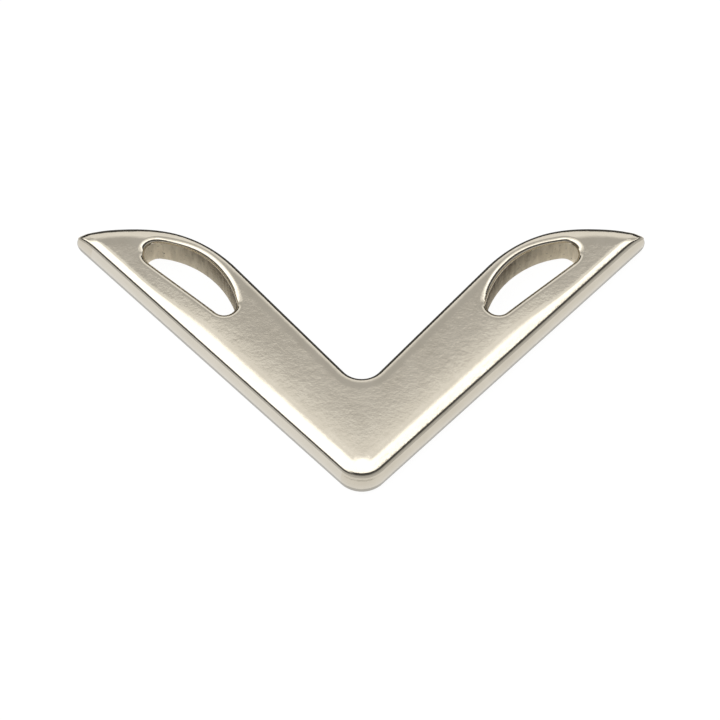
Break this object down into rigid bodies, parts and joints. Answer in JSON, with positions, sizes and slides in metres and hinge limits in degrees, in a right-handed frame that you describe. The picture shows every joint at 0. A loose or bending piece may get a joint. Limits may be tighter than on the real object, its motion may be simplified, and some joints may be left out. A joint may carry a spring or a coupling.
{
  "type": "v-shaped strap connector",
  "caption": "Shallow V of satin nickel-plated cast metal with a curved slot at each end, joining two straps at an angle.",
  "frame": {"origin": "centre of the bounding box's bottom, on the flat back of the connector", "axes": "+X from the left tip to the right tip, +Y from the apex of the V to its open side, +Z out of the front face"},
  "size_m": [0.0604, 0.0303, 0.0045],
  "materials": {
    "satin_nickel": "satin nickel plate over die-cast zinc, polished on the front and as cast inside the slots"
  },
  "bodies": {
    "root": {"connector_body": "satin_nickel"}
  },
  "joints": []
}
